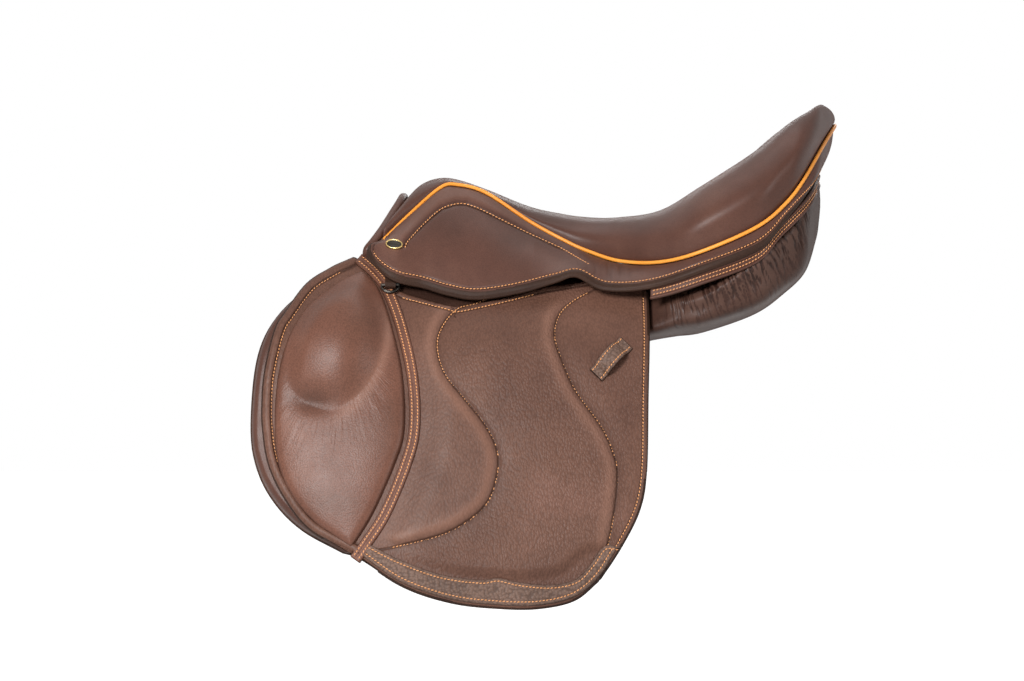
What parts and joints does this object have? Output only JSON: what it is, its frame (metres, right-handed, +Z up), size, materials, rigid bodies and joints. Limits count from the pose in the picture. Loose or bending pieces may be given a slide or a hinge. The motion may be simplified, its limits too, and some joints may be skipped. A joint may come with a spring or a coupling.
{
  "type": "saddle",
  "caption": "English close-contact jumping saddle with lifting flaps and skirts, hinged stirrup bar catches, swinging girth straps and dee rings, on a sprung wooden tree.",
  "frame": {"origin": "centre plane, level with the lowest line of the rear panels and below the stirrup bars' rear half: the middle of the back that carries it", "axes": "+X to the cantle, -Y to the near (left) side, +Z up"},
  "size_m": [0.5603, 0.4406, 0.4744],
  "materials": {
    "seat leather": "smooth, satin",
    "skirt leather": "smooth, satin",
    "flap leather": "grained",
    "pebbled leather": "pebbled, grippy",
    "lining leather": "plain, matt",
    "welt leather": "dyed, satin",
    "laminated beech": "laminated, lacquered",
    "forged steel": "forged and polished",
    "brass": "polished",
    "woven web": "woven linen",
    "foam": "moulded foam"
  },
  "bodies": {
    "root": {"tree": "laminated beech", "head_plate": "forged steel", "gullet_plate": "forged steel", "tree_spring_near": "forged steel", "tree_spring_off": "forged steel", "seat_webbing": "woven web", "seat_foam": "foam", "seat_cover": "seat leather", "seat_welt": "welt leather", "cantle_back": "skirt leather", "front_facing": "seat leather", "panel_bridge": "lining leather", "gusset_strip": "skirt leather", "skirt_top_near": "skirt leather", "flap_head_near": "flap leather", "sweat_flap_near": "lining leather", "front_block_near": "lining leather", "girth_web_near": "woven web", "buckle_guard_near": "lining leather", "stirrup_bar_near": "forged steel", "bar_pin_near": "forged steel", "dee_chape_near": "lining leather", "nail_near": "brass", "panel_near": "seat leather", "skirt_top_off": "skirt leather", "flap_head_off": "flap leather", "sweat_flap_off": "lining leather", "front_block_off": "lining leather", "girth_web_off": "woven web", "buckle_guard_off": "lining leather", "stirrup_bar_off": "forged steel", "bar_pin_off": "forged steel", "dee_chape_off": "lining leather", "nail_off": "brass", "panel_off": "seat leather"},
    "flap_near": {"flap_near": "flap leather", "knee_block_near": "seat leather", "flap_band_near": "skirt leather", "wear_strip_near": "pebbled leather", "keeper_near": "pebbled leather"},
    "skirt_near": {"skirt_near": "skirt leather"},
    "bar_catch_near": {"bar_catch_near": "forged steel"},
    "billet_front_near": {"billet_front_near": "flap leather"},
    "billet_rear_near": {"billet_rear_near": "flap leather"},
    "dee_near": {"dee_near": "forged steel"},
    "flap_off": {"flap_off": "flap leather", "knee_block_off": "seat leather", "flap_band_off": "skirt leather", "wear_strip_off": "pebbled leather", "keeper_off": "pebbled leather"},
    "skirt_off": {"skirt_off": "skirt leather"},
    "bar_catch_off": {"bar_catch_off": "forged steel"},
    "billet_front_off": {"billet_front_off": "flap leather"},
    "billet_rear_off": {"billet_rear_off": "flap leather"},
    "dee_off": {"dee_off": "forged steel"}
  },
  "joints": [
    {"name": "flap_lift_near", "type": "hinge", "parent": "root", "child": "flap_near", "pos_m": [-0.06035, -0.12038, 0.0294], "axis": [-0.9838, 0.1029, 0.1468], "range_deg": [0, 95]},
    {"name": "skirt_lift_near", "type": "hinge", "parent": "root", "child": "skirt_near", "pos_m": [-0.0616, -0.10526, 0.076], "axis": [-1, 0, 0], "range_deg": [0, 70]},
    {"name": "catch_turn_near", "type": "hinge", "parent": "root", "child": "bar_catch_near", "pos_m": [-0.046, -0.09248, 0.07656], "axis": [0, -0.8255, 0.5644], "range_deg": [0, 85]},
    {"name": "billet_front_swing_near", "type": "hinge", "parent": "root", "child": "billet_front_near", "pos_m": [-0.075, -0.11363, 0.01721], "axis": [0, -0.8177, 0.5757], "range_deg": [-5, 5]},
    {"name": "billet_rear_swing_near", "type": "hinge", "parent": "root", "child": "billet_rear_near", "pos_m": [0.005, -0.11361, 0.01722], "axis": [0, -0.8187, 0.5743], "range_deg": [-5, 5]},
    {"name": "dee_lift_near", "type": "hinge", "parent": "root", "child": "dee_near", "pos_m": [-0.1425, -0.10747, 0.05276], "axis": [-1, 0, 0], "range_deg": [0, 52]},
    {"name": "flap_lift_off", "type": "hinge", "parent": "root", "child": "flap_off", "pos_m": [-0.06035, 0.12038, 0.0294], "axis": [0.9838, 0.1029, -0.1468], "range_deg": [0, 95]},
    {"name": "skirt_lift_off", "type": "hinge", "parent": "root", "child": "skirt_off", "pos_m": [-0.0616, 0.10526, 0.076], "axis": [1, 0, 0], "range_deg": [0, 70]},
    {"name": "catch_turn_off", "type": "hinge", "parent": "root", "child": "bar_catch_off", "pos_m": [-0.046, 0.09248, 0.07656], "axis": [0, -0.8255, -0.5644], "range_deg": [0, 85]},
    {"name": "billet_front_swing_off", "type": "hinge", "parent": "root", "child": "billet_front_off", "pos_m": [-0.075, 0.11363, 0.01721], "axis": [0, 0.8177, 0.5757], "range_deg": [-5, 5]},
    {"name": "billet_rear_swing_off", "type": "hinge", "parent": "root", "child": "billet_rear_off", "pos_m": [0.005, 0.11361, 0.01722], "axis": [0, 0.8187, 0.5743], "range_deg": [-5, 5]},
    {"name": "dee_lift_off", "type": "hinge", "parent": "root", "child": "dee_off", "pos_m": [-0.1425, 0.10747, 0.05276], "axis": [1, 0, 0], "range_deg": [0, 52]}
  ]
}
